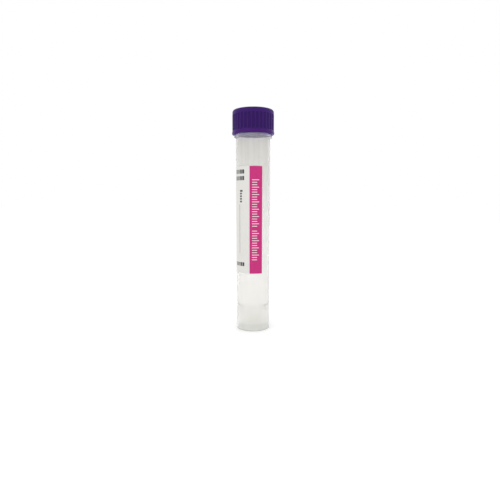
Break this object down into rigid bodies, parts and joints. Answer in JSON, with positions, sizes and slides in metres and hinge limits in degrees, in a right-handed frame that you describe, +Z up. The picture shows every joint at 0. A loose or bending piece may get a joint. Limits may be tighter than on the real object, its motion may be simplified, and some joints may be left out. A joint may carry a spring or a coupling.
{
  "type": "specimen swab tube",
  "caption": "Self-standing skirted screw-cap tube for a specimen swab, with a ribbed cap, a sealing washer and a wrap label.",
  "frame": {"origin": "centre of the base rim, on the surface the tube stands on", "axes": "+Z up the tube towards the cap, -Y the front, where the coloured strip and the label's right edge are"},
  "size_m": [0.0198, 0.0198, 0.1038],
  "materials": {
    "tube_plastic": "satin, milky translucent",
    "label_film": "satin white film",
    "strip_ink": "satin magenta print",
    "washer_silicone": "matt",
    "cap_plastic": "satin purple"
  },
  "bodies": {
    "tube": {"tube": "tube_plastic", "label": "label_film", "label_strip": "strip_ink"},
    "washer": {"sealing_washer": "washer_silicone"},
    "cap": {"screw_cap": "cap_plastic"}
  },
  "joints": [
    {"name": "cap_lift", "type": "slide", "parent": "tube", "child": "washer", "axis": [0, 0, 1], "range_m": [0, 0.009]},
    {"name": "cap_turn", "type": "hinge", "parent": "washer", "child": "cap", "pos_m": [0, 0, 0.093], "axis": [0, 0, 1], "range_deg": [0, 1080]}
  ],
  "couplings": [
    {"joint": "cap_turn", "follows": "cap_lift", "rad_per_m": 2094.4}
  ]
}
